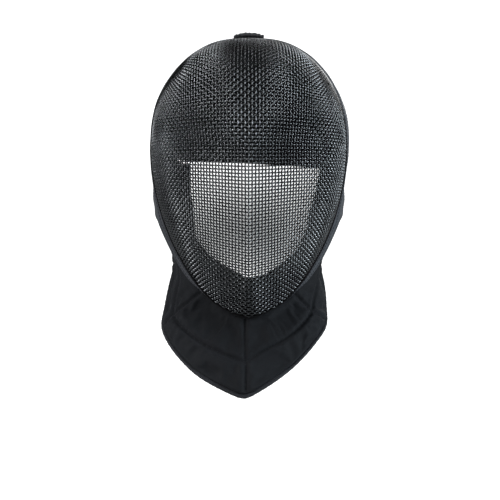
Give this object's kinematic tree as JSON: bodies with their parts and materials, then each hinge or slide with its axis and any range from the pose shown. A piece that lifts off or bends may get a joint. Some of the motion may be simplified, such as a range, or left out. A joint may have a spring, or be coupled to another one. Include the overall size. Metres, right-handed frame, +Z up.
{
  "type": "fencing mask",
  "caption": "Fencing mask with a bulged wire mesh face, a covered side band, face padding and a quilted pointed bib under the chin.",
  "frame": {"origin": "where the top of the head meets the padding under the crown", "axes": "+Z up over the crown, -Y out through the nose of the face mesh, -X to the wearer's right hand"},
  "size_m": [0.2148, 0.1933, 0.3652],
  "materials": {
    "wire": "black coated steel wire, satin",
    "piping": "thin black cord",
    "cover": "smooth dark grey cover cloth",
    "bib_cloth": "padded black cloth with quilting seams",
    "padding": "black foam padding covered with brushed cloth",
    "strap": "folded black webbing"
  },
  "bodies": {
    "root": {"face_mesh": "wire", "rim_piping": "piping", "rim_band": "cover", "bib": "bib_cloth", "bib_hem": "bib_cloth", "head_pad": "padding", "cheek_pad_left": "padding", "cheek_pad_right": "padding", "chin_pad": "padding", "crown_tab": "strap"}
  },
  "joints": []
}
